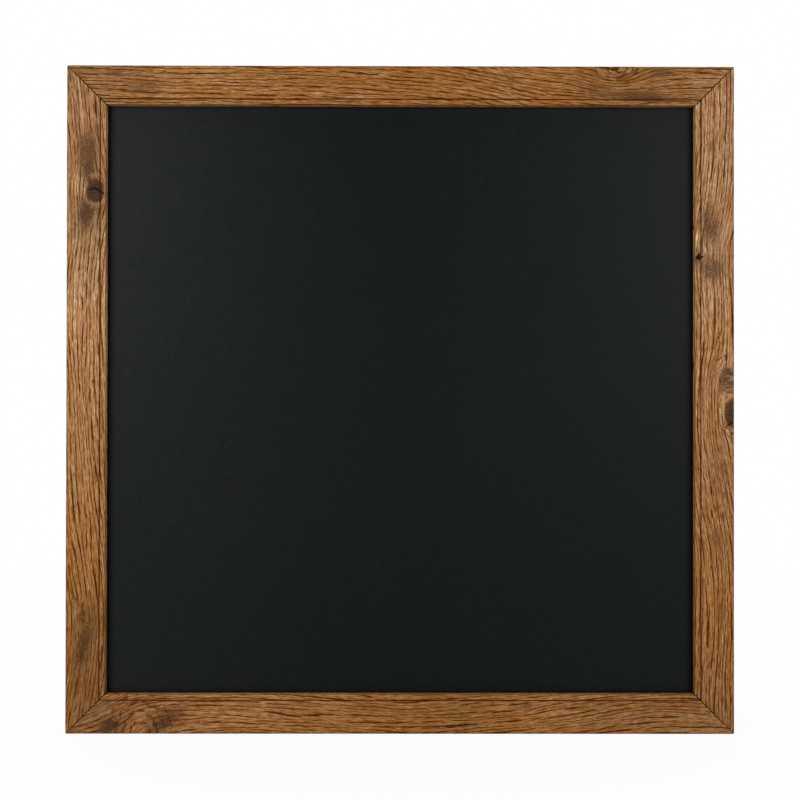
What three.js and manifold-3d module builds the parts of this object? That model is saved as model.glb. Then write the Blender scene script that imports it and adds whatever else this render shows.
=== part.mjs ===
// A square wall chalkboard: a mitred oak frame, a chalk-coated panel in its rebate, a backing board
// held by driven points, V-nails across the mitres, two strap hangers with swinging D-rings and four
// bumpers. Millimetres, +Z up. The front faces -Y and the bumpers touch the wall at y = 0. The origin is
// midway between the two wall hooks that carry the board when its rings are turned up.
import * as THREE from "three";
import { mergeVertices } from "three/addons/utils/BufferGeometryUtils.js";
import Module from "manifold-3d";

const wasm = await Module();
wasm.setup();

// The frame
const boardWidth = 600; // outside of the frame, left to right
const boardHeight = 600; // outside of the frame, bottom to top
const mouldingWidth = 35; // across the face, outer edge to sight edge
const mouldingDepth = 20; // front face to back face
const rebateWidth = 7; // how far the lip covers the panel
const lipDepth = 9; // front face to the rebate's shoulder
const frontArris = 1; // rounding of the two front edges
const backArris = 0.4; // easing of the back edges
const cornerRadius = 1.2; // sanding of the frame's four outer corners
const grooveFromSight = 5; // the groove's middle, in from the sight edge
const grooveWidth = 1.3;
const grooveDepth = 1;
const mitreGap = 0.3; // the open line between two members

// The boards in the rebate
const panelThickness = 3;
const backingThickness = 3;
const boardClearance = 1; // each board's edge to the rebate's wall
const boardCorner = 2;
const seatGap = 0.15; // between pieces that lie on each other

// The flexible points that hold the backing board
const pointsPerSide = 3;
const pointWidth = 6;
const pointThickness = 0.5;
const pointInWood = 6; // driven into the rebate's wall
const pointOnBoard = 9; // left lying on the backing board
const pointTaper = 3; // length of the sharpened end
const pointNose = 0.8; // width of its blunt tip
const slitClearance = 0.25; // round a point or a V-nail in the wood

// The V-nails across each mitre
const nailPlaces = { outer: 8, inner: 19 }; // in from both outer edges of the corner
const nailWing = 5;
const nailFlare = 1; // the turned ends of the wings
const nailThickness = 0.6;
const nailHeight = 10;
const nailHalfAngle = 50; // degrees from the mitre line to a wing
const nailFlareAngle = 75; // degrees from the mitre line to a turned end
const nailSunk = 0.4; // below the frame's back face

// The strap hangers
const hangerDrop = 110; // frame's top edge to the ring's axis
const strapWidth = 11.6;
const strapLength = 46; // ring's axis to the strap's round end
const stripThickness = 0.7; // the folded steel strip
const foldGap = 0.15; // between the strip's two leaves
const bendRadius = 1.2; // where the outer leaf turns down from the knuckle
const wireRadius = 1;
const ringClearance = 0.2; // wire to knuckle
const ringInnerWidth = 14;
const ringReach = 15.5; // ring's axis to the middle of the wire at its far end
const ringCorner = 2; // bend of the wire's middle where the bar turns into the bow
const restGap = 0.25; // hanging ring to strap

// The hangers' screws
const screwDrops = [23, 38]; // down from the ring's axis
const screwLength = 13; // under the head
const screwRadius = 1.75; // over the thread
const screwRoot = 1.25; // inside the thread
const screwPitch = 1.6;
const screwPoint = 2.8; // length of the sharp end
const screwNeck = 2.4; // plain shank under the head
const headRadius = 3.3;
const headRim = 0.9; // straight side of the head
const headHeight = 2.3;
const crossLength = 3.6; // the driver's cross recess
const crossWidth = 0.8;
const crossDepth = 1.3;
const crossTurn = 35; // degrees between one screw's recess and the next
const strapHoleClearance = 0.3; // screw to strap
const pilotClearance = 0.2; // screw to wood

// The bumpers
const bumperRadius = 6;
const bumperHeight = 4.5;
const bumperTaper = 0.4; // how much narrower the top is
const bumperRim = 0.8; // rounding of the top edge
const bumperFromSide = 45; // bumper's middle to the frame's side

// Sizes that follow from these
const shoulder = lipDepth - mouldingDepth; // the rebate's shoulder, in y
const backFace = mouldingWidth - rebateWidth; // width of a member's back face
const panelFront = shoulder + seatGap;
const backingFront = panelFront + panelThickness + seatGap;
const pointFront = backingFront + backingThickness + seatGap;
const pointBack = pointFront + pointThickness;
const knuckleInside = wireRadius + ringClearance;
const knuckleMiddle = knuckleInside + stripThickness / 2;
const axisHeight = stripThickness + knuckleInside; // ring's axis above the strap's underside
const leafTop = 2 * stripThickness + foldGap; // outer face of the strap above its underside
const hangerAcross = (boardWidth - backFace) / 2; // frame's middle to a hanger's middle
const hangerUp = boardHeight / 2 - hangerDrop; // frame's middle to the rings' axis
const screwSeat = seatGap + leafTop + seatGap; // underside of a screw's head, in y
const wallGap = seatGap + bumperHeight; // frame's back face to the wall
const hookUp = hangerUp + ringReach - wireRadius; // frame's middle to the hooks in the turned-up rings
const past = 1; // how far a cutter reaches into the open

const oak = new THREE.MeshStandardMaterial({ color: 0x8a5a33, roughness: 0.62, metalness: 0 });
const slate = new THREE.MeshStandardMaterial({ color: 0x1f2123, roughness: 0.7, metalness: 0 });
const hardboard = new THREE.MeshStandardMaterial({ color: 0x6f4a30, roughness: 0.85, metalness: 0 });
const steel = new THREE.MeshStandardMaterial({ color: 0x8f9296, roughness: 0.38, metalness: 1 });
const zinc = new THREE.MeshStandardMaterial({ color: 0xb9bcc0, roughness: 0.3, metalness: 1 });
const rubber = new THREE.MeshStandardMaterial({ color: 0x1a1a1b, roughness: 0.75, metalness: 0 });

const depthAxis = new THREE.Vector3(0, 1, 0); // the four sides are turned about it

// A closed geometry as a solid that can be cut
function solid(geometry) {
  const bare = new THREE.BufferGeometry();
  bare.setAttribute("position", geometry.getAttribute("position"));
  bare.setIndex(geometry.index);
  const sameCorner = 1e-4; // corners nearer than this are one
  const merged = mergeVertices(bare, sameCorner);
  const corners = merged.index.array;
  const faces = [];
  for (let i = 0; i < corners.length; i += 3) {
    const [a, b, c] = corners.slice(i, i + 3);
    if (a !== b && b !== c && c !== a) faces.push(a, b, c);
  }
  return new wasm.Manifold(
    new wasm.Mesh({
      numProp: 3,
      vertProperties: merged.attributes.position.array,
      triVerts: new Uint32Array(faces),
    }),
  );
}

function geometryOf(made) {
  const mesh = made.getMesh();
  const geometry = new THREE.BufferGeometry();
  geometry.setAttribute("position", new THREE.BufferAttribute(mesh.vertProperties, 3));
  geometry.setIndex(new THREE.BufferAttribute(mesh.triVerts, 1));
  geometry.computeVertexNormals();
  return geometry;
}

function piece(name, geometry, material, x = 0, y = 0, z = 0) {
  const mesh = new THREE.Mesh(geometry, material);
  mesh.name = name;
  mesh.position.set(x, y, z);
  return mesh;
}

// An outline in x and z, as seen from the front, made into a plate from y = front to y = back
function plate(shape, front, back, curveSegments = 6) {
  const depth = back - front;
  const pushed = new THREE.ExtrudeGeometry(shape, { depth, curveSegments, bevelEnabled: false });
  return pushed.rotateX(Math.PI / 2).translate(0, back, 0);
}

function roundedRectangle(width, height, radius) {
  const shape = new THREE.Shape();
  const x = width / 2 - radius;
  const y = height / 2 - radius;
  shape.absarc(x, y, radius, 0, Math.PI / 2);
  shape.absarc(-x, y, radius, Math.PI / 2, Math.PI);
  shape.absarc(-x, -y, radius, Math.PI, Math.PI * 1.5);
  shape.absarc(x, -y, radius, Math.PI * 1.5, Math.PI * 2);
  return shape;
}

// The outline of a strip of even thickness that is bent along a line of points
function stripOutline(line, thickness) {
  const left = [];
  const right = [];
  line.forEach((point, i) => {
    const before = point.clone().sub(line[Math.max(i - 1, 0)]).normalize();
    const after = line[Math.min(i + 1, line.length - 1)].clone().sub(point).normalize();
    const along = before.clone().add(after).normalize();
    const square = along.dot(i > 0 ? before : after);
    const across = new THREE.Vector2(-along.y, along.x).multiplyScalar(thickness / 2 / square);
    left.push(point.clone().add(across));
    right.unshift(point.clone().sub(across));
  });
  return new THREE.Shape([...left, ...right]);
}

// The moulding's section: x runs in from the outer edge, y is the depth
function mouldingSection() {
  const groove = mouldingWidth - grooveFromSight;
  const front = -mouldingDepth;
  const shape = new THREE.Shape();
  shape.moveTo(0, -backArris);
  shape.lineTo(0, front + frontArris);
  shape.absarc(frontArris, front + frontArris, frontArris, Math.PI, Math.PI * 1.5);
  shape.lineTo(groove - grooveWidth / 2, front);
  shape.lineTo(groove, front + grooveDepth);
  shape.lineTo(groove + grooveWidth / 2, front);
  shape.absarc(mouldingWidth - frontArris, front + frontArris, frontArris, Math.PI * 1.5, Math.PI * 2);
  shape.lineTo(mouldingWidth, shoulder);
  shape.lineTo(backFace, shoulder);
  shape.lineTo(backFace, -backArris);
  shape.lineTo(backFace - backArris, 0);
  shape.lineTo(backArris, 0);
  return shape;
}

// The moulding's section pushed along x, with the section's x running down from the side's outer edge
function moulding(side) {
  const depth = side.span + 2 * past;
  const shape = { depth, curveSegments: 4, bevelEnabled: false };
  const pushed = new THREE.ExtrudeGeometry(mouldingSection(), shape);
  return pushed.translate(0, 0, -depth / 2).rotateY(Math.PI / 2).translate(0, 0, side.reach);
}

// What is left of a member between its two mitres, each cut back by half of the open line
function mitreCutter(side) {
  const trim = mitreGap / Math.SQRT2;
  const outer = side.span / 2 + past - trim;
  const inner = side.span / 2 - mouldingWidth - past - trim;
  const top = side.reach + past;
  const low = side.reach - mouldingWidth - past;
  const shape = new THREE.Shape([
    new THREE.Vector2(-inner, low),
    new THREE.Vector2(inner, low),
    new THREE.Vector2(outer, top),
    new THREE.Vector2(-outer, top),
  ]);
  return plate(shape, -mouldingDepth - past, past);
}

// A V-nail, or its pocket: the frame's corner is at the origin and the wood lies towards +x and -z
function vNail(distance, clearance = 0) {
  const inward = new THREE.Vector2(1, -1).normalize();
  const across = new THREE.Vector2(1, 1).normalize();
  const step = (from, length, degrees, way) => {
    const angle = THREE.MathUtils.degToRad(degrees);
    const ahead = from.clone().addScaledVector(inward, length * Math.cos(angle));
    return ahead.addScaledVector(across, way * length * Math.sin(angle));
  };
  const apex = new THREE.Vector2(distance, -distance);
  const wing = (way) => {
    const bend = step(apex, nailWing, nailHalfAngle, way);
    return [bend, step(bend, nailFlare + clearance, nailFlareAngle, way)];
  };
  const line = [...wing(1).reverse(), apex, ...wing(-1)];
  const front = -nailSunk - nailHeight - clearance;
  const back = clearance > 0 ? past : -nailSunk;
  return plate(stripOutline(line, nailThickness + 2 * clearance), front, back);
}

// How far along its side a point is driven in
function pointPlace(side, i) {
  return ((i + 1) / (pointsPerSide + 1) - 0.5) * (side.span - 2 * mouldingWidth);
}

// The slit that a driven point leaves in the rebate's wall
function slit(side, i) {
  const width = pointWidth + 2 * slitClearance;
  const thickness = pointThickness + 2 * slitClearance;
  const depth = pointInWood + slitClearance;
  const wall = side.reach - backFace;
  const cut = new THREE.BoxGeometry(width, thickness, depth + past);
  return cut.translate(pointPlace(side, i), (pointFront + pointBack) / 2, wall + (depth - past) / 2);
}

// The hole that a hanger's screw is driven into, in the frame of its side
function pilotHole(side, place) {
  const radius = screwRadius + pilotClearance;
  const bottom = screwSeat - screwLength - pilotClearance;
  const at = place.clone().applyAxisAngle(depthAxis, -side.angle);
  const flats = 16;
  const hole = new THREE.CylinderGeometry(radius, radius, past - bottom, flats);
  return hole.translate(at.x, (bottom + past) / 2, at.z);
}

// One mitred member in its side's frame: it lies along x, with its outer edge at z = reach
function member(side) {
  const outline = roundedRectangle(side.span, 2 * side.reach, cornerRadius);
  const cornerSteps = 3;
  let made = solid(moulding(side))
    .intersect(solid(mitreCutter(side)))
    .intersect(solid(plate(outline, -mouldingDepth - past, past, cornerSteps)));
  for (const distance of Object.values(nailPlaces)) {
    const left = vNail(distance, slitClearance).translate(-side.span / 2, 0, side.reach);
    const right = vNail(distance, slitClearance).rotateY(Math.PI / 2);
    right.translate(side.span / 2, 0, side.reach);
    made = made.subtract(solid(left)).subtract(solid(right));
  }
  for (let i = 0; i < pointsPerSide; i++) {
    made = made.subtract(solid(slit(side, i)));
  }
  for (const place of side.screws) {
    made = made.subtract(solid(pilotHole(side, place)));
  }
  return geometryOf(made);
}

// A driven point: its nose is in the rebate's wall, at z = 0, and its round tail lies on the backing
function flexiblePoint() {
  const half = pointWidth / 2;
  const shape = new THREE.Shape();
  shape.moveTo(-half, pointInWood - pointTaper);
  shape.lineTo(-half, half - pointOnBoard);
  shape.absarc(0, half - pointOnBoard, half, Math.PI, Math.PI * 2);
  shape.lineTo(half, pointInWood - pointTaper);
  shape.lineTo(pointNose / 2, pointInWood);
  shape.lineTo(-pointNose / 2, pointInWood);
  return plate(shape, pointFront, pointBack);
}

// A board that lies in the rebate
function boardPlate(thickness, front) {
  const width = boardWidth - 2 * (backFace + boardClearance);
  const height = boardHeight - 2 * (backFace + boardClearance);
  return plate(roundedRectangle(width, height, boardCorner), front, front + thickness);
}

// The middle line of the folded strip: up the inner leaf, round the knuckle and down the outer leaf.
// Its x is the height above the wood and its y runs up from the ring's axis.
function strapLine() {
  const bend = bendRadius + stripThickness / 2;
  const outerLeaf = leafTop - stripThickness / 2;
  const bendHeight = outerLeaf + bend;
  const rise = bendHeight - axisHeight;
  const bendDrop = Math.sqrt((knuckleMiddle + bend) ** 2 - rise ** 2);
  const meet = Math.atan2(bendDrop, rise); // from straight out to the line between the two centres
  const line = [new THREE.Vector2(stripThickness / 2, -strapLength)];
  const wrap = Math.PI + meet;
  const wrapSteps = 20;
  for (let i = 0; i <= wrapSteps; i++) {
    const turn = (wrap * i) / wrapSteps;
    const x = axisHeight - knuckleMiddle * Math.cos(turn);
    line.push(new THREE.Vector2(x, knuckleMiddle * Math.sin(turn)));
  }
  const bendSteps = 6;
  for (let i = 1; i <= bendSteps; i++) {
    const turn = meet * (1 - i / bendSteps);
    const x = bendHeight - bend * Math.cos(turn);
    line.push(new THREE.Vector2(x, bend * Math.sin(turn) - bendDrop));
  }
  line.push(new THREE.Vector2(outerLeaf, -strapLength));
  return line;
}

// The folded strap with its round end and screw holes; the ring's axis is over the origin
function strap() {
  const depth = strapWidth + 2 * past;
  const outline = stripOutline(strapLine(), stripThickness);
  const pushed = new THREE.ExtrudeGeometry(outline, { depth, bevelEnabled: false });
  const heightToY = new THREE.Matrix4().makeBasis(
    new THREE.Vector3(0, 1, 0),
    new THREE.Vector3(0, 0, 1),
    new THREE.Vector3(1, 0, 0),
  );
  pushed.translate(0, 0, -depth / 2).applyMatrix4(heightToY);
  const half = strapWidth / 2;
  const top = knuckleMiddle + stripThickness;
  const end = new THREE.Shape();
  end.moveTo(-half, top);
  end.lineTo(-half, half - strapLength);
  end.absarc(0, half - strapLength, half, Math.PI, Math.PI * 2);
  end.lineTo(half, top);
  const endSteps = 12;
  let made = solid(pushed).intersect(solid(plate(end, -past, axisHeight + top, endSteps)));
  const holeRadius = screwRadius + strapHoleClearance;
  const holeFlats = 24;
  for (const drop of screwDrops) {
    const hole = new THREE.CylinderGeometry(holeRadius, holeRadius, leafTop + 2 * past, holeFlats);
    made = made.subtract(solid(hole.translate(0, leafTop / 2, -drop)));
  }
  return geometryOf(made);
}

// The middle line of the ring's wire, in x and in distance from its axis: a bow, an arm, a bar, an arm
function ringLine() {
  const arm = ringInnerWidth / 2 + wireRadius;
  const line = [];
  const arc = (x, y, radius, from, to, steps) => {
    for (let i = 0; i <= steps; i++) {
      const turn = from + ((to - from) * i) / steps;
      line.push(new THREE.Vector2(x + radius * Math.cos(turn), y + radius * Math.sin(turn)));
    }
  };
  const bowSteps = 18;
  const cornerSteps = 5;
  arc(0, ringReach - arm, arm, 0, Math.PI, bowSteps);
  arc(ringCorner - arm, ringCorner, ringCorner, Math.PI, Math.PI * 1.5, cornerSteps);
  arc(arm - ringCorner, ringCorner, ringCorner, Math.PI * 1.5, Math.PI * 2, cornerSteps);
  return line;
}

// A round wire bent along a closed flat line, hanging down from the origin
function ring() {
  const line = ringLine();
  const around = 10; // points round the wire
  const places = [];
  const faces = [];
  line.forEach((point, i) => {
    const before = line[(i + line.length - 1) % line.length];
    const after = line[(i + 1) % line.length];
    const along = after.clone().sub(before).normalize();
    const next = ((i + 1) % line.length) * around;
    for (let k = 0; k < around; k++) {
      const turn = (2 * Math.PI * k) / around;
      const out = wireRadius * Math.cos(turn);
      places.push(point.x + along.y * out, wireRadius * Math.sin(turn), along.x * out - point.y);
      const beside = (k + 1) % around;
      faces.push(i * around + k, next + k, i * around + beside);
      faces.push(i * around + beside, next + k, next + beside);
    }
  });
  const geometry = new THREE.BufferGeometry();
  geometry.setAttribute("position", new THREE.Float32BufferAttribute(places, 3));
  geometry.setIndex(faces);
  geometry.computeVertexNormals();
  return geometry;
}

// A pan-head screw pointing along -y, with a ridged shank and a cross recess; its head sits on y = 0
function screw() {
  const tip = -screwLength;
  const profile = [new THREE.Vector2(0, tip)];
  const ridges = Math.floor((screwLength - screwNeck) / screwPitch);
  const firstCrest = 0.6 * screwPitch; // up from the tip
  const ridgeHalf = screwPitch / 5;
  for (let i = 0; i < ridges; i++) {
    const crest = tip + firstCrest + screwPitch * i;
    const grown = Math.min((crest - tip) / screwPoint, 1);
    profile.push(new THREE.Vector2(screwRoot * grown, crest - ridgeHalf));
    profile.push(new THREE.Vector2(screwRadius * grown, crest));
    profile.push(new THREE.Vector2(screwRoot * grown, crest + ridgeHalf));
  }
  profile.push(new THREE.Vector2(screwRadius, -screwNeck), new THREE.Vector2(screwRadius, 0));
  profile.push(new THREE.Vector2(headRadius, 0));
  const domeSteps = 5;
  for (let i = 0; i < domeSteps; i++) {
    const turn = ((Math.PI / 2) * i) / domeSteps;
    const height = headRim + (headHeight - headRim) * Math.sin(turn);
    profile.push(new THREE.Vector2(headRadius * Math.cos(turn), height));
  }
  profile.push(new THREE.Vector2(0, headHeight));
  const flats = 18;
  let made = solid(new THREE.LatheGeometry(profile, flats));
  for (const [width, height] of [[crossLength, crossWidth], [crossWidth, crossLength]]) {
    const slot = new THREE.BoxGeometry(width, 2 * crossDepth, height);
    made = made.subtract(solid(slot.translate(0, headHeight, 0)));
  }
  return geometryOf(made);
}

// A bumper with a flat top, standing along +y
function bumper() {
  const top = bumperRadius - bumperTaper - bumperRim;
  const profile = [new THREE.Vector2(0, 0), new THREE.Vector2(bumperRadius, 0)];
  const rimSteps = 4;
  for (let i = 0; i <= rimSteps; i++) {
    const turn = ((Math.PI / 2) * i) / rimSteps;
    const height = bumperHeight - bumperRim * (1 - Math.sin(turn));
    profile.push(new THREE.Vector2(top + bumperRim * Math.cos(turn), height));
  }
  profile.push(new THREE.Vector2(0, bumperHeight));
  const flats = 28;
  return geometryOf(solid(new THREE.LatheGeometry(profile, flats)));
}

// The places of one hanger's screws, from the frame's middle
function screwPlaces(across) {
  return screwDrops.map((drop) => new THREE.Vector3(across, 0, hangerUp - drop));
}

// Each side is drawn as the top one and turned into its place; the corner is the one at its left end
const level = { span: boardWidth, reach: boardHeight / 2, screws: [] };
const standing = { span: boardHeight, reach: boardWidth / 2 };
const right = { ...standing, angle: Math.PI / 2, screws: screwPlaces(hangerAcross) };
const left = { ...standing, angle: -Math.PI / 2, screws: screwPlaces(-hangerAcross) };
const sides = [
  { ...level, name: "top", member: "top_rail", corner: "top_left", angle: 0 },
  { ...level, name: "bottom", member: "bottom_rail", corner: "bottom_right", angle: Math.PI },
  { ...right, name: "right", member: "right_stile", corner: "top_right" },
  { ...left, name: "left", member: "left_stile", corner: "bottom_left" },
];

const board = new THREE.Group();
board.position.set(0, -wallGap, -hookUp);

for (const side of sides) {
  const group = new THREE.Group();
  group.rotation.y = side.angle;
  group.add(piece(side.member, member(side), oak));
  for (const [row, distance] of Object.entries(nailPlaces)) {
    const nail = piece(`v_nail_${side.corner}_${row}`, vNail(distance), steel);
    nail.position.set(-side.span / 2, 0, side.reach);
    group.add(nail);
  }
  for (let i = 0; i < pointsPerSide; i++) {
    const point = piece(`point_${side.name}_${i + 1}`, flexiblePoint(), steel);
    point.position.set(pointPlace(side, i), 0, side.reach - backFace);
    group.add(point);
  }
  board.add(group);
}

board.add(piece("writing_panel", boardPlate(panelThickness, panelFront), slate));
board.add(piece("backing_board", boardPlate(backingThickness, backingFront), hardboard));

// A ring hangs just off its strap, which turns it a little way out from straight down
const restAngle = Math.asin((leafTop + wireRadius + restGap - axisHeight) / ringReach);

for (const [name, way] of [["left", -1], ["right", 1]]) {
  const across = way * hangerAcross;
  board.add(piece(`strap_${name}`, strap(), zinc, across, seatGap, hangerUp));
  const hanging = piece(`ring_${name}`, ring(), zinc, across, seatGap + axisHeight, hangerUp);
  hanging.rotation.x = restAngle;
  board.add(hanging);
  screwPlaces(across).forEach((place, i) => {
    const driven = piece(`screw_${name}_${i + 1}`, screw(), zinc, place.x, screwSeat, place.z);
    driven.rotation.y = THREE.MathUtils.degToRad(crossTurn * (i + way));
    board.add(driven);
  });
}

for (const [name, across, up] of [
  ["top_left", -1, 1],
  ["top_right", 1, 1],
  ["bottom_left", -1, -1],
  ["bottom_right", 1, -1],
]) {
  const x = across * (boardWidth / 2 - bumperFromSide);
  const z = up * ((boardHeight - backFace) / 2);
  board.add(piece(`bumper_${name}`, bumper(), rubber, x, seatGap, z));
}

const part = new THREE.Group();
part.add(board);
export default part;
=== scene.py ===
import math
import bmesh
import bpy
import numpy as np
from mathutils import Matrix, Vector


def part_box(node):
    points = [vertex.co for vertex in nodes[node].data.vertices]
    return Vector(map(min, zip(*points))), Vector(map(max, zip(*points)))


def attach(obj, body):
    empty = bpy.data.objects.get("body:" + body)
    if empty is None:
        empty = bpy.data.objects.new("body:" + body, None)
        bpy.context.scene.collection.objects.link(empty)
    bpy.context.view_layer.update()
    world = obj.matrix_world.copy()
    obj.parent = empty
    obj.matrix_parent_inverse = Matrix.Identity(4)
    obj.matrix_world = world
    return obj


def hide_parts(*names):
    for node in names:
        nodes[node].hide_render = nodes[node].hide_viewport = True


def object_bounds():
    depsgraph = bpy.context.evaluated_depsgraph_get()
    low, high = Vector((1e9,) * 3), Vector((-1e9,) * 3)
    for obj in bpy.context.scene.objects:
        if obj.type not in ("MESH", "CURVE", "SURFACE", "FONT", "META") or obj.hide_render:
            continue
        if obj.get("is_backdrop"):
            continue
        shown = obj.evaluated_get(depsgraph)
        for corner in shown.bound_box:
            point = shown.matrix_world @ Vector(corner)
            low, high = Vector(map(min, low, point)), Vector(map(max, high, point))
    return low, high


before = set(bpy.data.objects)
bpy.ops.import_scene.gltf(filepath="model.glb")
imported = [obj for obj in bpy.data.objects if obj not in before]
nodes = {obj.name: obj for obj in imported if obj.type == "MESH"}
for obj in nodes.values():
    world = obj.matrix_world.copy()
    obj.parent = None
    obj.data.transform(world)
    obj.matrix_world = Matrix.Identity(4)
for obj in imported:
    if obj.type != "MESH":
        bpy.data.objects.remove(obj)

cadLow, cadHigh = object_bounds()
mm = 0.001

# where the board stands in the CAD frame, in millimetres
board = {
    "side": round((cadHigh[0] - cadLow[0]) / mm, 2),  # outside of the frame
    "middle": round((cadLow[2] + cadHigh[2]) / 2 / mm, 2),  # height of the frame's middle
    "front": round(cadLow[1] / mm, 2),  # y of the front face
    "back": round(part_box("left_stile")[1].y / mm, 2),  # y of the frame's back face
    "mitreGap": 0.3,  # between two members in the CAD
    "mitreDrawn": 0.2,  # share of that gap that is drawn
    "sight": 265.0,  # the frame's middle to the sight edges
}
halfSide = board["side"] / 2


# shader expressions: one wrapped socket, with numbers and sockets mixed freely
class Val:
    def __init__(self, tree, socket):
        self.tree, self.socket = tree, socket

    def math(self, operation, *values):
        node = self.tree.node("ShaderNodeMath", {"operation": operation}, dict(enumerate(values)))
        return Val(self.tree, node.outputs[0])

    def __add__(self, o): return self.math("ADD", self, o)
    def __radd__(self, o): return self.math("ADD", o, self)
    def __sub__(self, o): return self.math("SUBTRACT", self, o)
    def __rsub__(self, o): return self.math("SUBTRACT", o, self)
    def __mul__(self, o): return self.math("MULTIPLY", self, o)
    def __rmul__(self, o): return self.math("MULTIPLY", o, self)
    def __truediv__(self, o): return self.math("DIVIDE", self, o)
    def __rtruediv__(self, o): return self.math("DIVIDE", o, self)
    def __pow__(self, o): return self.math("POWER", self, o)
    def __rpow__(self, o): return self.math("POWER", o, self)

    def sin(self): return self.math("SINE", self)
    def abs(self): return self.math("ABSOLUTE", self)
    def fract(self): return self.math("FRACT", self)
    def min(self, o): return self.math("MINIMUM", self, o)
    def max(self, o): return self.math("MAXIMUM", self, o)

    # smooth step: 0 below low, 1 above high, 3t^2 - 2t^3 between
    def step(self, low, high, start=0.0, end=1.0):
        node = self.tree.node(
            "ShaderNodeMapRange",
            {"interpolation_type": "SMOOTHSTEP"},
            {"Value": self, "From Min": low, "From Max": high, "To Min": start, "To Max": end},
        )
        return Val(self.tree, node.outputs[0])

    # the other way round: 1 below low, 0 above high
    def fall(self, low, high):
        return self.step(low, high, 1.0, 0.0)


# the nodes of one material, or of the world
class Finish:
    def __init__(self, name, fixed, store=bpy.data.materials, output="Material", shader="BsdfPrincipled"):
        self.owner = store.new(name)
        self.owner.use_nodes = True
        self.nodeTree = self.owner.node_tree
        self.nodeTree.nodes.clear()
        self.out = self.node("ShaderNodeOutput" + output)
        self.shader = self.node("ShaderNode" + shader, {}, fixed)
        self.feed(self.out.inputs["Surface"], self.shader.outputs[0])

    def feed(self, socket, value):
        if isinstance(value, Val):
            self.nodeTree.links.new(value.socket, socket)
        elif isinstance(value, bpy.types.NodeSocket):
            self.nodeTree.links.new(value, socket)
        else:
            socket.default_value = value

    # any node: its type, its settings (set first), then the values or links of its sockets
    def node(self, kind, settings=None, inputs=None):
        made = self.nodeTree.nodes.new(kind)
        for key, value in (settings or {}).items():
            setattr(made, key, value)
        for key, value in (inputs or {}).items():
            self.feed(made.inputs[key], value)
        return made

    def attribute(self, name, output="Fac"):
        made = self.node("ShaderNodeAttribute", {"attribute_name": name})
        return made.outputs["Vector"] if output == "Vector" else Val(self, made.outputs["Fac"])

    def objectPlace(self):
        return self.node("ShaderNodeTexCoord").outputs["Object"]

    def parts(self, vector):
        made = self.node("ShaderNodeSeparateXYZ", {}, {0: vector})
        return [Val(self, made.outputs[i]) for i in range(3)]

    def together(self, x, y, z):
        return self.node("ShaderNodeCombineXYZ", {}, {"X": x, "Y": y, "Z": z}).outputs[0]

    # a place divided by the size of a cell, or by its three sizes
    def inCells(self, vector, cell):
        sizes = cell if isinstance(cell, tuple) else (cell,) * 3
        return self.node("ShaderNodeVectorMath", {"operation": "DIVIDE"}, {0: vector, 1: sizes}).outputs[0]

    # cloud noise, about 0.5 in the middle, in such cells
    def noise(self, vector, cell, detail=2.0, rough=0.5, warp=0.0):
        sized = self.inCells(vector, cell)
        made = self.node(
            "ShaderNodeTexNoise",
            {"noise_dimensions": "3D"},
            {"Vector": sized, "Scale": 1.0, "Detail": detail, "Roughness": rough, "Distortion": warp},
        )
        return Val(self, made.outputs[0])

    # the same noise, about 0
    def stray(self, *settings):
        return self.noise(*settings) - 0.5

    # distance to the nearest of some scattered points, one to a cell
    def cells(self, vector, cell):
        sized = self.inCells(vector, cell)
        made = self.node(
            "ShaderNodeTexVoronoi",
            {"voronoi_dimensions": "3D", "feature": "F1"},
            {"Vector": sized, "Scale": 1.0, "Randomness": 1.0},
        )
        return Val(self, made.outputs[0])

    # from one colour to another; a tuple is a colour as the screen shows it, from 0 to 255
    def mix(self, amount, *colours):
        made = self.node("ShaderNodeMix", {"data_type": "RGBA"}, {"Factor": amount})
        for socket, colour in zip((made.inputs[6], made.inputs[7]), colours):
            self.feed(socket, paint(*colour) if isinstance(colour, tuple) else colour)
        return made.outputs[2]

    # colour times an amount, or times one for red, one for green and one for blue
    def tint(self, colour, *amounts):
        each = self.together(*(amounts if len(amounts) == 3 else amounts * 3))
        settings = {"data_type": "RGBA", "blend_type": "MULTIPLY"}
        return self.node("ShaderNodeMix", settings, {"Factor": 1.0, 6: colour, 7: each}).outputs[2]

    # closes a finish: colour, roughness, and a height that bumps by a distance in metres and a strength
    def surface(self, colour, rough, height, distance, strength):
        values = {"Height": height, "Distance": distance, "Strength": strength}
        bump = self.node("ShaderNodeBump", {}, values).outputs[0]
        for key, value in (("Base Color", colour), ("Roughness", rough), ("Normal", bump)):
            self.feed(self.shader.inputs[key], value)
        return self.owner

    # rays of the given kinds meet plain white instead, by an amount
    def whiteFor(self, rays, emitter, amount=1.0):
        path = self.node("ShaderNodeLightPath")
        seen = 0.0
        for ray in rays:
            seen = Val(self, path.outputs[ray]).max(seen)
        white = self.node(emitter, {}, {"Color": [1, 1, 1, 1], "Strength": 1.0})
        ends = {0: seen * amount, 1: self.shader.outputs[0], 2: white.outputs[0]}
        self.feed(self.out.inputs["Surface"], self.node("ShaderNodeMixShader", {}, ends).outputs[0])
        return self.owner


# a colour given as its 0-255 screen values, as the linear one that shaders take
def paint(red, green, blue):
    steps = [v / 255 for v in (red, green, blue)]
    return [v / 12.92 if v <= 0.04045 else ((v + 0.055) / 1.055) ** 2.4 for v in steps] + [1.0]


# evenly spaced angles of a full turn
def around(count):
    return np.linspace(0, 2 * np.pi, count, endpoint=False)


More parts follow.
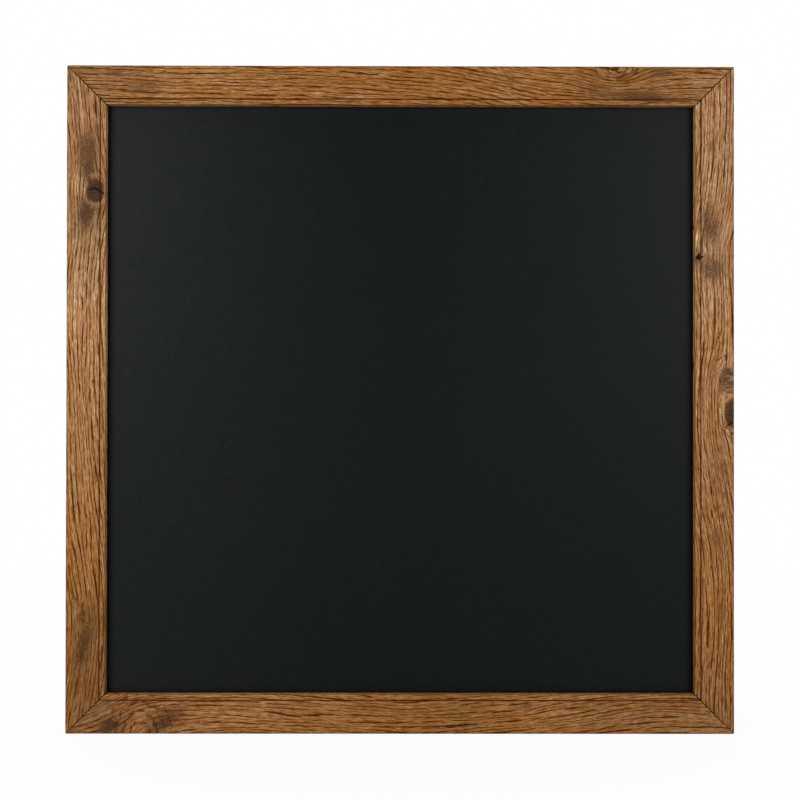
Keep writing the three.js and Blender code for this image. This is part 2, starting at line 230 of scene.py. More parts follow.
# quads of a grid: point (i, j) joins (i+1, j), (i+1, j+1), (i, j+1), wrapping where asked
def gridQuads(rows, columns, wrapRows=False, wrapColumns=False):
    i = np.arange(rows if wrapRows else rows - 1)[:, None]
    j = np.arange(columns if wrapColumns else columns - 1)[None, :]
    iNext, jNext = (i + 1) % rows, (j + 1) % columns
    corners = (i * columns + j, iNext * columns + j, iNext * columns + jNext, i * columns + jNext)
    return np.stack([np.broadcast_to(c, (i + 0 * j).shape).ravel() for c in corners], axis=1)


# six times the signed volume: the sum of a . (b x c) over the triangles that fan out from each face
def sixVolumes(points, quads, caps):
    a, b, c, d = (points[quads[:, k]] for k in range(4))
    total = np.einsum("ij,ij->", a, np.cross(b, c)) + np.einsum("ij,ij->", a, np.cross(c, d))
    for cap in caps:
        p = points[cap]
        total += np.einsum("ij,ij->", np.broadcast_to(p[0], p[1:-1].shape), np.cross(p[1:-1], p[2:]))
    return total


# a closed mesh from closed rings of points, one after the other, whose x, y and z come in millimetres: a
# tube with two flat ends, or one that joins its own start. Where its volume comes out negative, all faces
# are turned round. data holds a number or a vector for each point.
def makePiece(name, rings, finish, node, body="frame", joined=False, data=None):
    rings = np.stack(np.broadcast_arrays(*rings), axis=-1)
    n, k, _ = rings.shape
    points = rings.reshape(-1, 3)
    quads = gridQuads(n, k, wrapRows=joined, wrapColumns=True)
    caps = [] if joined else [np.arange(k), np.arange((n - 1) * k, n * k)]
    if sixVolumes(points, quads, caps) < 0:
        quads = quads[:, ::-1]
        caps = [cap[::-1] for cap in caps]
    mesh = bpy.data.meshes.new(name)
    loops = np.concatenate([quads.ravel(), *caps]).astype(np.int32)
    sizes = np.concatenate([np.full(len(quads), 4), [len(cap) for cap in caps]]).astype(np.int64)
    starts = (np.cumsum(sizes) - sizes).astype(np.int32)
    mesh.vertices.add(len(points))
    mesh.vertices.foreach_set("co", (points * mm).astype(np.float32).ravel())
    mesh.loops.add(len(loops))
    mesh.loops.foreach_set("vertex_index", loops)
    mesh.polygons.add(len(starts))
    mesh.polygons.foreach_set("loop_start", starts)
    mesh.update(calc_edges=True)
    mesh.validate()
    mesh.polygons.foreach_set("use_smooth", np.ones(len(mesh.polygons), bool))
    for key, values in (data or {}).items():
        kind, field = ("FLOAT_VECTOR", "vector") if values.ndim == 3 else ("FLOAT", "value")
        layer = mesh.attributes.new(key, kind, "POINT")
        layer.data.foreach_set(field, values.astype(np.float32).ravel())
    piece = bpy.data.objects.new(name, mesh)
    bpy.context.scene.collection.objects.link(piece)
    mesh.materials.append(finish)
    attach(piece, body)
    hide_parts(node)
    return piece


# an edge is sharp where the normals of its two faces stand further apart than the given angle
def sharpen(piece, degrees):
    limit = math.cos(math.radians(degrees))
    mesh = piece.data
    work = bmesh.new()
    work.from_mesh(mesh)
    for edge in work.edges:
        if len(edge.link_faces) == 2:
            one, two = (face.normal for face in edge.link_faces)
            edge.smooth = one.dot(two) > limit
    work.to_mesh(mesh)
    work.free()


# the oak moulding, in millimetres
moulding = {
    "width": 35.0,
    "depth": 20.0,
    "rebate": 28.0,  # outer edge to the rebate's wall
    "lip": 9.0,  # front face to the shoulder
    "arris": 1.0,
    "backArris": 0.4,
    "groove": 30.0,  # the groove's middle
    "grooveHalf": 0.65,
    "grooveDepth": 1.0,
    "crown": 0.22,  # how much the bead falls away at its two sides
    "corner": 1.2,  # rounding of the frame's outer corners
    "cornerFade": 3.0,  # how far in from the side that rounding reaches
    "face": 2.5,  # depth over which the marks on the face fade out
    "crackDepth": 1.3,
    "crackEdge": 0.7,  # how far a crack's slopes reach
    "mitreEase": 0.35,  # how much the face falls away at a mitre
    "mitreReach": 0.5,
    "wave": 0.06,  # the planed face's slow rise and fall
    "waveFrom": 1.2,  # how far in from the side it starts
    "step": 0.95,  # spacing of the rows along a member
    "knotRows": 9.0,  # rows lie closer this far to both sides of a knot
    "endRows": (0.3, 0.8, 1.5),  # and at these distances from a member's ends
    "run": 280.0,  # half of a member's length, taken in its middle
    "rowsApart": 0.0007,  # the least share of that between two rows
}
rebateWall = halfSide - moulding["rebate"]  # the frame's middle to the rebate's walls
backMiddle = halfSide - moulding["rebate"] / 2  # and to the middle of the members' back faces


# the section as (in from the outer edge, depth behind the front face): straight runs cut evenly, arcs
# r(1 - cos t), r(1 - sin t), and a V groove with eased lips
def mouldingSection(m):
    quarter = np.linspace(0, np.pi / 2, 5)
    r, w, half = m["arris"], m["width"], m["grooveHalf"]
    bead = np.linspace(m["groove"] + half + 0.2, w - r, 6)
    middle = (bead[0] + w) / 2
    drop = m["crown"] * ((bead - middle) / (w - middle)) ** 2
    groove = [(-half, 0.08), (-half * 0.5, 0.52), (-0.1, 0.97)]
    groove += [(0.1, 0.97), (half * 0.5, 0.52), (half, 0.14)]
    runs = [
        [(0, d) for d in np.linspace(m["depth"] - m["backArris"], r, 10)[:-1]],
        [(r * (1 - math.cos(t)), r * (1 - math.sin(t))) for t in quarter],
        [(x, 0) for x in np.linspace(r, m["groove"] - half - 0.15, 29)[1:]],
        [(m["groove"] + x, m["grooveDepth"] * y) for x, y in groove],
        list(zip(bead, drop)),
        [(w - r * (1 - math.sin(t)), drop[-1] + (r - drop[-1]) * (1 - math.cos(t))) for t in quarter[1:]],
        [(w, d) for d in np.linspace(r, m["lip"], 7)[1:]],
        [(x, m["lip"]) for x in np.linspace(w, m["rebate"], 5)[1:]],
        [(m["rebate"], d) for d in np.linspace(m["lip"], m["depth"] - m["backArris"], 6)[1:]],
        [(x, m["depth"]) for x in np.linspace(m["rebate"] - m["backArris"], m["backArris"], 15)],
    ]
    return np.array([p for run in runs for p in run], float)


# the wood's own story, member by member, in millimetres: "along" runs right or up from the member's
# middle and "across" in from the outer edge.
#   slope: (along, sideways drift of the grain per millimetre)
#   knots: (along, across, half length, half width, how far the grain swerves, fill, rim, arcs round it)
#   smudges: (along, across, half length, half width, strength, lean)
#   pale: same as smudges
#   cracks: (start along, across, end along, across, width)
#   tone: (along, lightness)
#   warmth: (along, how red the wood is)
oakStory = {
    "left_stile": {
        "seed": 3.0,
        "slope": [(-300, 0.19), (-225, 0.11), (-190, -0.10), (-150, -0.13), (-60, -0.07), (60, -0.05),
                  (85, 0.05), (130, 0.14), (165, 0.05), (200, -0.08), (240, -0.10), (300, -0.14)],
        "knots": [(187.3, 25.3, 10.0, 7.6, 0.85, 1.0, 0.7, 0.5), (15.7, 24.5, 1.5, 1.3, 0.6, 1.0, 0.4, 0),
                  (-195, 14.5, 3.0, 2.4, 0.9, 0.3, 0.7, 0.9), (-186, 32.5, 2.0, 1.5, 0.4, 0.1, 0.7, 0)],
        "smudges": [(221, 18.5, 24, 8.5, 0.88, -0.05), (204, 18.5, 8, 5, 0.7, 0),
                    (168, 18.5, 15, 8.5, 0.9, 0.1),
                    (188, 27, 14, 8, 0.3, 0), (-221, 16, 17, 5.5, 0.80, 0.2),
                    (-176, 7, 11, 1.4, 0.65, -0.55), (-200, 20, 18, 10, 0.42, 0), (-240, 17, 46, 16, 0.3, 0),
                    (240, 27, 12, 4, 0.25, 0.1), (-199, 34, 5, 1.4, 0.4, 0)],
        "pale": [(192, 8.5, 12, 4.6, 0.6, 0), (187, 15.2, 9, 1.6, 0.6, 0), (-190, 9, 9, 4, 0.25, 0.2),
                 (90, 8, 60, 6, 0.22, 0)],
        "cracks": [(188.0, 19.8, 189.4, 25.8, 0.9), (189.4, 25.8, 184.2, 33.3, 0.9)],
        "tone": [(-300, 0.75), (-200, 0.85), (-120, 1.0), (-30, 1.03), (65, 1.3), (130, 1.0), (185, 0.88),
                 (240, 1.15), (300, 0.9)],
        "warmth": [(-300, 0.7), (-180, 0.7), (-120, 0.5), (-60, 0.45), (60, 0.0), (200, 0.05), (300, 0.15)],
    },
    "right_stile": {
        "seed": 11.0,
        "slope": [(-300, 0.0), (-200, -0.05), (-165, 0.06), (-120, 0.16), (-60, 0.16), (-25, 0.04),
                  (20, -0.08), (60, -0.04), (100, 0.07), (122, 0.05), (140, -0.18), (175, -0.2),
                  (205, -0.04), (300, 0.02)],
        "knots": [(-11.7, 0.5, 13.0, 7.6, 0.95, 1.0, 0.7, 0.9), (16, 5.5, 9, 8.5, 0.55, 0.2, 0.3, 0.6),
                  (128, 34.5, 3.4, 5.0, 0.75, 0.2, 0.4, 0.5)],
        "smudges": [(-13, 3.0, 12, 5.0, 0.6, 0), (157, 21.5, 19, 9, 0.75, 0.15),
                    (117, 19.5, 13, 10.5, 0.78, -0.05), (228, 21, 7, 5, 0.5, 0), (17, 6, 10, 7.5, 0.75, 0),
                    (25.5, 3, 3, 6, 0.7, 0.3), (-86, 9, 3.6, 2.4, 0.7, 0), (-98, 17, 3.2, 2.2, 0.6, 0),
                    (-105, 10.5, 3.2, 2.2, 0.6, 0), (-126, 16, 10, 5, 0.4, 0),
                    (-190, 13, 14, 3.4, 0.4, 0), (128, 31, 10, 4.5, 0.6, 0), (-60, 14, 28, 9, 0.3, 0)],
        "pale": [(171, 32, 5, 1.4, 0.7, 0), (147, 33.6, 5, 1.6, 0.7, 0), (134, 26, 6, 4, 0.35, 0),
                 (-12, 11.5, 12, 3.0, 0.45, 0), (50, 22, 26, 6, 0.22, 0), (215, 24, 40, 8, 0.25, 0)],
        "cracks": [(128.8, 28.0, 127.4, 34.8, 2.3), (125.8, 31.0, 131.0, 31.8, 1.5),
                   (132, 30, 128.5, 34, 1.0),
                   (-24.6, 7.8, -19.0, 0.3, 0.7), (-24.6, 7.8, -27, 4.5, 0.5),
                   (62.4, 12.3, 53, 15, 0.5), (53, 15, 44.4, 19.5, 0.5), (40, 7.8, 35, 15.9, 0.5)],
        "tone": [(-300, 0.76), (-230, 0.8), (-180, 0.93), (-110, 0.9), (0, 1.05), (120, 1.12), (300, 1.05)],
        "warmth": [(-300, 0.62), (-220, 0.62), (-60, 0.4), (20, 0.3), (120, 0.0), (300, 0.05)],
    },
    "top_rail": {
        "seed": 23.0,
        "slope": [(-300, 0.02), (-180, 0.035), (-60, 0.03), (0, 0.05), (30, 0.12), (60, 0.2), (110, 0.2),
                  (140, 0.1), (175, 0.14), (192, 0.05), (205, -0.14), (240, -0.04), (300, 0.03)],
        "knots": [(197, 2.0, 12, 7.0, 0.9, 0.05, 0.4, 1.0)],
        "smudges": [(-256, 6.9, 7, 1.6, 0.6, 0), (232.9, 6, 9, 4, 0.5, 0), (201.5, 6.5, 4, 2.2, 0.5, 0),
                    (227, 29.6, 14, 2.6, 0.7, 0), (93, 6, 4.5, 1.1, 0.85, 1.4),
                    (101, 12.2, 6, 1.2, 0.8, 0.38), (122, 16, 14, 1.1, 0.6, 0.1),
                    (-230, 19, 14, 6, 0.5, 0), (212, 27, 24, 4.5, 0.65, 0), (178, 22, 14, 6, 0.4, 0.2)],
        "pale": [(-73, 24.8, 9, 5, 0.35, 0), (193.4, 5.2, 6, 3.4, 0.25, 0), (60, 22, 14, 5, 0.3, 0.15),
                 (270, 14, 14, 7, 0.3, 0), (-30, 27, 30, 4, 0.25, 0)],
        "cracks": [],
        "tone": [(-300, 0.8), (-230, 0.84), (-180, 1.0), (-120, 0.84), (60, 0.8), (120, 0.9), (180, 0.72),
                 (235, 0.73), (300, 0.88)],
        "warmth": [(-300, 0.35), (-220, 0.5), (-50, 0.75), (80, 0.75), (180, 0.68), (300, 0.35)],
    },
    "bottom_rail": {
        "seed": 37.0,
        "slope": [(-300, 0.15), (-265, 0.25), (-225, 0.28), (-180, 0.14), (-150, -0.03), (-80, -0.09),
                  (-20, -0.06), (20, 0.04), (80, 0.09), (130, 0.15), (180, 0.14), (215, 0.08), (240, 0.0),
                  (300, -0.05)],
        "knots": [(-233, 0.5, 16.0, 21.0, 0.55, 0.0, 0.15, 0.9), (114, 25.3, 3.4, 2.2, 0.5, 0.2, 0.4, 0)],
        "smudges": [(-259, 8.6, 10, 7, 0.9, 0.3), (-266, 4, 6, 5, 0.5, 0.3), (-210, 12, 15, 8, 0.8, 0.5),
                    (-210, 21.2, 4, 2.4, 0.5, 0), (-226, 15, 3.4, 2.2, 0.4, 0),
                    (-192.6, 23.9, 3.4, 2, 0.4, 0), (-35, 25.7, 8, 2.0, 0.45, 0),
                    (69.5, 24.8, 7, 2.2, 0.45, 0.1), (114, 25.3, 7, 3, 0.45, 0), (169, 28.4, 6, 2.4, 0.4, 0),
                    (-91, 28.4, 6, 2.2, 0.4, 0), (-262, 27, 12, 3, 0.25, 0)],
        "pale": [(-235, 14.5, 6, 5.0, 0.25, 0), (-226, 22.5, 11, 1.8, 0.4, -0.15),
                 (90.2, 24.8, 6, 3, 0.4, 0), (-150, 14, 40, 6, 0.15, 0), (10, 20, 30, 6, 0.2, 0)],
        "cracks": [(-241.5, 1.0, -240.5, 7.0, 0.7)],
        "tone": [(-300, 0.68), (-230, 0.88), (-150, 0.95), (-60, 0.93), (60, 0.75), (120, 0.93), (180, 0.8),
                 (300, 0.8)],
        "warmth": [(-300, 0.6), (-180, 0.5), (20, 0.72), (80, 0.72), (220, 0.55), (300, 0.5)],
    },
}

# a member's own directions in x and z: from the frame's middle out to it, and along it
memberWays = {
    "top_rail": ((0, 1), (1, 0)),
    "bottom_rail": ((0, -1), (1, 0)),
    "left_stile": ((-1, 0), (0, 1)),
    "right_stile": ((1, 0), (0, 1)),
}

grainPath = {
    "steps": 120,  # of the walk back to a member's middle
    "ease": 9,  # a change of slope is spread this far to both sides
    "reach": (2.4, 2.0),  # how far a knot's swerve is felt, in its half lengths and half widths
    "far": 4.0,  # stands for any distance at which a knot or crack isn't felt
}


# the grain's own sideways coordinate: from each point walk back to the member's middle along the local
# drift, d' = drift(a) + swerve, where a knot's swerve pushes lines out by exp(-u^2 - v^2)
def grainAcross(along, across, story):
    stations = np.array(story["slope"]).T
    steps, ease = grainPath["steps"], grainPath["ease"]
    fraction = np.linspace(0, 1, steps + 1)
    total = np.zeros_like(along)
    for f in (fraction[1:] + fraction[:-1]) / 2:
        place = along * f
        slope = sum(np.interp(place + shift, *stations) for shift in (-ease, 0, ease)) / 3
        total += slope * along / steps
    drifted = across - total
    longReach, wideReach = grainPath["reach"]
    for a, d, long, wide, swerve, *_ in story["knots"]:
        felt = np.exp(-((along - a) / (longReach * long)) ** 2 - ((across - d) / (wideReach * wide)) ** 2)
        drifted -= (across - d) * swerve * felt
    return drifted


# distance to the nearest of several short straight lines, less half its width, which falls off to the ends
# as 0.35 + 0.65 sin(pi t)
def crackDistance(along, across, cracks):
    best = np.full(along.shape, grainPath["far"])
    for a0, d0, a1, d1, width in cracks:
        da, dd = a1 - a0, d1 - d0
        t = np.clip(((along - a0) * da + (across - d0) * dd) / (da * da + dd * dd), 0, 1)
        gap = np.hypot(along - a0 - t * da, across - d0 - t * dd)
        taper = 0.35 + 0.65 * np.sin(np.pi * np.clip(t, 0.04, 0.96))
        best = np.minimum(best, gap - width / 2 * taper)
    return best


# leaning, flat-topped bell shapes that build up: strength exp(-q^1.4), where
# q = (u / long)^2 + ((v - lean u) / wide)^2
def blotches(along, across, marks):
    total = np.zeros_like(along)
    for a, d, long, wide, strength, lean in marks:
        u, v = along - a, across - d
        bell = strength * np.exp(-(((u / long) ** 2 + ((v - lean * u) / wide) ** 2) ** 1.4))
        total = total + bell * (1 - total)
    return total


# the rows along a member, as shares of its half length: even, and closer at its knots and its ends
def memberRows(m, knots):
    even = np.arange(-1, 1.00001, m["step"] / halfSide)
    near = m["knotRows"]
    close = [np.linspace((a - near) / rebateWall, (a + near) / rebateWall, 30) for a, *_ in knots]
    ends = np.array(m["endRows"]) / m["run"]
    rows = np.unique(np.round(np.concatenate([even, [-1, 1], ends - 1, 1 - ends, *close]), 4))
    rows = rows[np.concatenate([[True], np.diff(rows) > m["rowsApart"]])]
    rows[-1] = 1.0
    return rows


# distance from the nearest knot's middle, in its own radii, and that knot's three strengths; a knot
# grows narrower into the depth
def knotField(along, across, depth, knots):
    nearest = np.full(along.shape, grainPath["far"])
    force = np.zeros(along.shape + (3,))
    for a, d, long, wide, _, *strengths in knots:
        radius = np.hypot((along - a) / long, (across - d) / wide) * (1 + 0.05 * depth) + 0.02 * depth
        force[radius < nearest] = strengths
        nearest = np.minimum(nearest, radius)
    return nearest, force


# one member: the section carried along the side, its rows sheared so that both ends lie on the mitres
def member(name, finish):
    m, story = moulding, oakStory[name]
    section = mouldingSection(m)
    across, depth = section[:, 0][None, :], section[:, 1][None, :]
    trim = board["mitreGap"] / math.sqrt(2) * board["mitreDrawn"]
    along = memberRows(m, story["knots"])[:, None] * (halfSide - across - trim)
    across, depth = across + 0 * along, depth + 0 * along
    toMitre = (halfSide - across - trim) - np.abs(along)
    # the frame's outer corners: in from the side by r - sqrt(r^2 - u^2), fading inwards
    r = m["corner"]
    u = np.clip(np.abs(along) - (halfSide - r), 0, r)
    moved = across + (r - np.sqrt(r * r - u * u)) * np.clip(1 - across / m["cornerFade"], 0, 1)
    # on the face: cracks sink as smooth trenches, the mitres' edges are eased, and sines make a slow wave
    onFace = np.clip(1 - depth / m["face"], 0, 1)
    crack = crackDistance(along, across, story["cracks"])
    sunk = m["crackDepth"] * np.clip(1 - crack / m["crackEdge"], 0, 1) * onFace
    eased = m["mitreEase"] * np.clip(1 - toMitre / m["mitreReach"], 0, 1) * onFace
    wave = 1 + np.sin(along / 37 + story["seed"]) * np.sin(along / 11.3 + across / 9)
    inside = depth + sunk + eased + m["wave"] * wave * onFace * (across > m["waveFrom"])
    x, z = (along * way + (halfSide - moved) * out for out, way in zip(*memberWays[name]))
    rings = x, board["front"] + inside, z + board["middle"]
    knot, force = knotField(along, across, depth, story["knots"])
    data = {
        "grain": np.stack([along + 97 * story["seed"], grainAcross(along, across, story), depth], -1),
        "knot": knot,
        "knotForce": force,
        "smudge": blotches(along, across, story["smudges"]) * np.clip(1 - depth / 17, 0, 1),
        "pale": blotches(along, across, story["pale"]) * np.clip(1 - depth / 12, 0, 1),
        "crack": crack,
        "tone": np.interp(along, *np.array(story["tone"]).T),
        "warm": np.interp(along, *np.array(story["warmth"]).T),
        "across": across,
        "depth": depth,
        "mitre": toMitre / math.sqrt(2),
    }
    return makePiece(name + "_oak", rings, finish, name, data=data)


oakLook = {
    "light": (160, 125, 91),
    "middle": (142, 102, 70),
    "red": (152, 98, 43),
    "soaked": (0.16, 0.33, 0.74),  # what the stain takes from red, green and blue beside the pores
    "pore": (64, 20, 1),
    "smudge": (70, 46, 29),
    "knot": (51, 38, 31),
    "pale": (206, 171, 128),
    "crack": (14, 9, 6),
    "raw": (190, 152, 108),
    "rawPore": (126, 88, 52),
    "fleck": (0.17, 0.36, 0.60),  # what a pale fleck adds to red, green and blue
    "ringGap": 3.6,  # spacing of the growth lines
    "lean": 0.62,  # how far they lean into the depth
    "rust": 0.9,  # how much the red comes and goes along the fibres
    "wander": (2.6, 0.45),  # how far the fibres stray sideways, slowly and quickly
    "shift": 3.4,  # how far the growth lines stray from even spacing
    "poreLength": 11.0,
    "poreWidth": 0.62,
    "hairLength": 5.0,
    "hairWidth": 0.45,
    "strength": {"lines": 0.94, "lesser": 0.50, "pores": 0.74, "hairs": 0.30},
    "grit": 2.3,  # contrast of the light and dark streaks
    "gritHue": (1.0, 1.35, 1.9),  # their powers in red, green and blue, so that dark ones look redder
    "bump": 0.0003,  # metres
    "roughness": 0.52,
}


# stained oak: a ground mixed from four colours, darkened by 1 - (1 - lines)(1 - pores)... and overlaid with
# smudges, knots, cracks, the raw back, and the stain and painted shade in the groove. Its noises run along
# the fibres.
def oakFinish(look):
    f = Finish("stained oak", {"Specular IOR Level": 0.05, "Specular Tint": [1.0, 0.76, 0.5, 1.0]})
    grain = f.attribute("grain", "Vector")
    s, v, deep = f.parts(grain)
    knot = f.attribute("knot")
    knotFill, knotRim, knotArcs = f.parts(f.attribute("knotForce", "Vector"))
    smudge, pale, crack = f.attribute("smudge"), f.attribute("pale"), f.attribute("crack")
    tone, across, depth, warm = (f.attribute(n) for n in ("tone", "across", "depth", "warm"))
    # fibres wander sideways a little
    slowly, quickly = look["wander"]
    wander = f.stray(grain, (48, 11, 11), 1.5) * slowly
    wander = wander + f.stray(grain, (14, 3.4, 3), 1.0) * quickly
    strayed = v + wander + deep * look["lean"]
    flow = f.together(s, strayed, deep)
    band = f.noise(flow, (95, 4.2, 6), 1.5)
    # growth lines: even rings shifted about by a slow noise and broken into dashes, with finer ones between
    shift = f.stray(flow, (130, 13, 13), 1.5) * look["shift"]
    ring = ((strayed / look["ringGap"] + shift).fract() - 0.5).abs()
    between = ((strayed / (look["ringGap"] * 0.37) + shift * 2.1).fract() - 0.5).abs()
    dash = f.noise(flow, (23, 2.2, 2.6), 1.5).step(0.40, 0.54)
    shortDash = f.noise(flow, (10, 1.2, 1.5), 1.5).step(0.47, 0.59)
    knotWander = knot + f.stray(grain, (6, 4, 4), 2.0) * 0.5
    # smudges and knots show few lines
    calm = (1 - smudge.min(0.8)) * (1 - knotArcs * knotWander.step(1.3, 0.8))
    lines = ring.fall(0.05, 0.17) * dash * calm
    lesser = between.fall(0.08, 0.34) * shortDash * calm
    # open pores crowd along the growth lines; hair-fine ones lie everywhere
    pores = f.noise(flow, (look["poreLength"], look["poreWidth"], 0.9), 1.2, 0.5)
    poreMask = pores.step(0.53, 0.63) * ring.step(0.08, 0.36, 1.0, 0.12)
    hair = f.noise(flow, (look["hairLength"], look["hairWidth"], 0.6), 1.5, 0.6)
    hairMask = hair.step(0.50, 0.68)
    fleck = f.noise(flow, (22, 0.8, 1.0), 1.0)
    streak = f.noise(flow, (7.5, 0.85, 0.9), 1.5, 0.6) * 0.72 + f.noise(grain, (1.3, 0.9, 0.9), 1.0) * 0.28
    strong = look["strength"]
    dark = (1 - lines * strong["lines"]) * (1 - lesser * strong["lesser"])
    dark = 1 - dark * (1 - poreMask * strong["pores"]) * (1 - hairMask * strong["hairs"])
    # colour: light and middle wood, then the red, the pale flecks and places, and the stain in the pores
    ground = f.mix(band.step(0.36, 0.62), look["light"], look["middle"])
    rust = f.stray(flow, (50, 12, 12), 2.0) * look["rust"]
    ground = f.mix((warm + rust).max(0.0).min(1.0), ground, look["red"])
    flecks = fleck.step(0.50, 0.64)
    ground = f.tint(ground, *(1 + flecks * gain for gain in look["fleck"]))
    ground = f.mix(pale.step(0.05, 0.85) * 0.8, ground, look["pale"])
    soak = (dark * 1.7).min(1.0)
    colour = f.tint(ground, *(1 - soak * loss for loss in look["soaked"]))
    colour = f.mix(dark, colour, look["pore"])
    grit = (streak * look["grit"] - 0.13).max(0.05)
    colour = f.tint(colour, *(grit ** power for power in look["gritHue"]))
    cloud = f.noise(grain, (9, 5, 5), 3.0, 0.6)
    mottle = f.noise(grain, (1.9, 1.2, 1.2), 2.0, 0.6).step(0.32, 0.68)
    shade = (smudge * (0.36 + 0.7 * cloud + 0.75 * mottle)).min(0.9)
    colour = f.mix(shade, colour, look["smudge"])
    # a knot: rings of its own that close round it, darker to the middle
    knotRings = (knotWander * 17.0).sin() * 0.5 + 0.5
    arcs = (knotWander * 15.0).sin().step(0.1, 0.95) * knotWander.step(0.2, 0.5) * knotWander.step(2.3, 1.4)
    arcs = arcs * f.noise(grain, 5, 2.0).step(0.36, 0.56)
    colour = f.mix(arcs * knotArcs * 0.8, colour, look["pore"])
    rim = (knotWander - 1.0).abs().fall(0.03, 0.22) * knotRim
    haloEdge = knot + f.stray(grain, (9, 7, 7), 2.0) * 1.5
    halo = (haloEdge - 1.35).abs().fall(0.03, 0.24) * knotRim
    halo = halo * f.noise(grain, 8, 1.0).step(0.42, 0.6)
    colour = f.mix(halo * 0.24, colour, look["pale"])
    colour = f.mix(rim * 0.6, colour, look["pore"])
    inKnot = knotWander.fall(0.86, 1.04) * knotFill * depth.step(0.5, 9.0, 1.0, 0.55)
    knotTone = f.mix(knotRings * 0.5 + 0.25, look["knot"], look["smudge"])
    colour = f.mix(inKnot * 0.93, colour, f.tint(knotTone, 0.6 + mottle * 0.8))
    colour = f.tint(colour, tone * (0.9 + 0.2 * f.noise(grain, (60, 12, 12), 1.0)))
    split = crack + depth * 0.4 + f.stray(grain, (1.6, 1.2, 1.2), 2.0) * 0.5
    split = split.fall(-0.05, 0.35)
    colour = f.mix(split, colour, look["crack"])
    # the back was left raw, with stain that ran over from the edges
    rawEdge = (across - moulding["rebate"] / 2).abs() + f.stray(grain, (34, 7, 7), 2.0, 0.5) * 4
    raw = depth.step(moulding["depth"] - 0.35, moulding["depth"] - 0.1) * rawEdge.step(13.6, 11.4)
    rawColour = f.mix(dark * 0.55, look["raw"], look["rawPore"])
    rawColour = f.tint(rawColour, 0.84 + band * 0.3)
    colour = f.mix(raw * 0.85, colour, rawColour)
    # the groove is coloured darker: stain that pooled there, and painted shade that deepens the groove's
    # shadow
    groove = (across - moulding["groove"]).abs().fall(0.2, 0.95) * depth.fall(2.0, 3.0)
    groove = groove * f.noise(grain, (14, 9, 9), 3.0, 0.7).step(0.32, 0.6, 0.6, 1.0)
    colour = f.mix(groove * 0.9, colour, look["pore"])
    # the colour is darker towards the outer edge, and the wall beside the board is painted lighter: painted
    # light that lifts the shade on that wall
    colour = f.tint(colour, across.step(-0.5, 5.0, 0.82, 1.0) * across.step(33.8, 34.8, 1.0, 1.14))
    # dirt sits in the open mitre, more towards the inside
    mitre = f.attribute("mitre") + f.stray(grain, 3, 2.0) * 0.7
    seam = mitre.fall(0.15, 0.65) * across.step(0.0, 14.0, 0.4, 1.0)
    colour = f.mix(seam, colour, look["crack"])
    height = 0.5 - dark * 0.35 + fleck * 0.12 - inKnot * 0.15 - split * 0.8
    rough = look["roughness"] + dark * 0.16 + groove * 0.2 + shade * 0.05 + (cloud - 0.5) * 0.1 + raw * 0.25
    return f.surface(colour, rough, height, look["bump"], 0.55)


print("oak members")
oak = oakFinish(oakLook)
for name in oakStory:
    sharpen(member(name, oak), 38)

# the boards
coatingLook = {
    "slate": (7, 11, 12),
    "sheen_and_grain": (28, 30, 31),  # painted sheen over the coating's fine grain: the lighter grey that stands for the lamps' reflection towards the sides
    "left": (0.38, 0.26),  # the painted sheen's strength low at the left side, and what is added high up
    "right": (0.15, 0.26),
    "reach": 0.24,  # metres from the middle to the full painted sheen
    "lip": 0.008,  # width of the painted shadow that the stiles' lips cast on the board
    "under": 0.35,  # painted light under the top rail's lip, which lifts the board out of the lip's shadow
    "shade": (0.009, 0.005),  # metres below the top rail over which the painted light fades, and above the bottom one over which painted shade darkens the board
    "bare": ((92, 62, 40), (120, 84, 56)),  # the uncoated back
    "coated": -0.0153,  # y of the coating's back
    "roughness": 0.4,
}


# slate grey under a painted sheen, a lighter grey that stands for the lamps' reflection: (distance from the
# middle / reach) ^ 1.6, more at the left and high up; painted light under the top rail, and painted shade
# beside the stiles and above the bottom rail
def coatingFinish(look):
    f = Finish("chalk coating", {"Specular IOR Level": 0.06})
    place = f.objectPlace()
    x, y, z = f.parts(place)
    cloud = f.noise(place, 0.09, 3.0, 0.55)
    fibre = f.noise(place, (0.0048, 0.02, 0.0021), 2.0, 0.6)
    fibre2 = f.noise(place, (0.0021, 0.02, 0.0048), 2.0, 0.6)
    speck = f.noise(place, 0.0015, 1.0)
    high = z.step(-0.36, 0.03)
    low, more = (x.step(-0.05, 0.05, left, right) for left, right in zip(look["left"], look["right"]))
    # painted sheen, though the variable is called dust: lighter towards the sides and higher up, standing
    # for the lamps' reflection, with a cloud of random unevenness
    dust = (x.abs() / look["reach"]) ** 1.6 * (low + more * high) + (cloud - 0.5) * 0.12
    grainy = (fibre - 0.5) * 0.55 + (fibre2 - 0.5) * 0.55 + (speck - 0.5) * 0.6
    up = z - board["middle"] * mm
    edge = board["sight"] * mm
    above, below = look["shade"]
    # painted light: the board is lighter just under the top rail, against the shadow of its lip
    dust = dust + up.step(edge - above, edge) * look["under"]
    sheen_and_grain = (dust + 0.05 + grainy * (0.55 + dust)).max(0.0)
    face = f.mix(sheen_and_grain, look["slate"], look["sheen_and_grain"])
    # painted shade: the board turns dark beside the stiles and darker just above the bottom rail, where the
    # lips shadow it
    beside = (edge - x.abs()).step(-0.0005, look["lip"])
    face = f.tint(face, beside * (up + edge).step(0.0, below, 0.6, 1.0))
    brown = f.mix(fibre, *look["bare"])
    isBack = y.step(look["coated"], look["coated"] + 0.0001)
    colour = f.mix(isBack, face, brown)
    rough = look["roughness"] + (cloud - 0.5) * 0.05 + (fibre + fibre2 - 1.0) * 0.09 + isBack * 0.35
    height = fibre * 0.5 + fibre2 * 0.5 + speck * 0.4
    return f.surface(colour, rough, height, 0.00006, 0.35)


